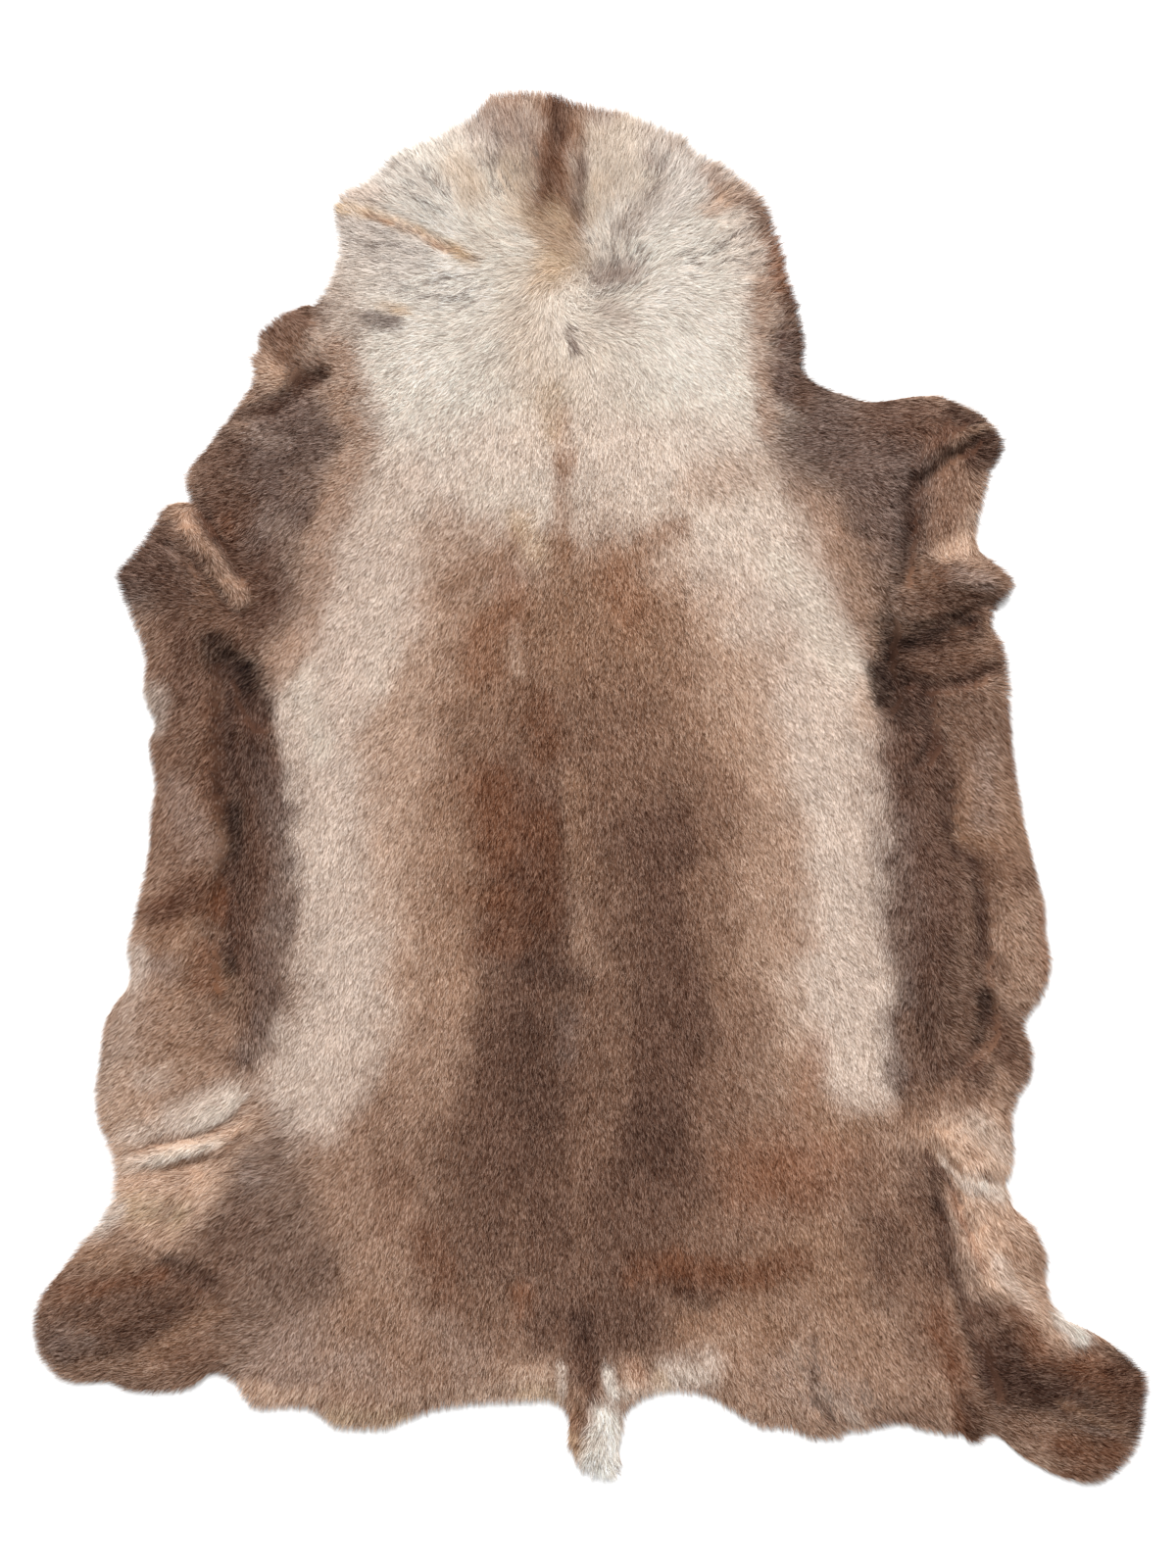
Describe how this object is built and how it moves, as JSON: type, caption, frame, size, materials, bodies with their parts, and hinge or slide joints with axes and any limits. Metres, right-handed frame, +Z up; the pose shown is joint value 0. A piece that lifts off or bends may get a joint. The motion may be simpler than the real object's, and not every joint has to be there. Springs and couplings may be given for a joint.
{
  "type": "reindeer hide",
  "caption": "Whole tanned reindeer hide with its coat on, laid flat hair side up, with a narrow neck, leg flaps and a short tail.",
  "frame": {"origin": "middle of the hide's extent, on the surface it lies on", "axes": "+Y towards the neck end, -Y towards the tail, +Z up out of the coat"},
  "size_m": [1.022, 1.2776, 0.034],
  "materials": {
    "pelt": "matt coat of lying hair, grey-brown with cream sides and neck"
  },
  "bodies": {
    "root": {"hide": "pelt"}
  },
  "joints": []
}
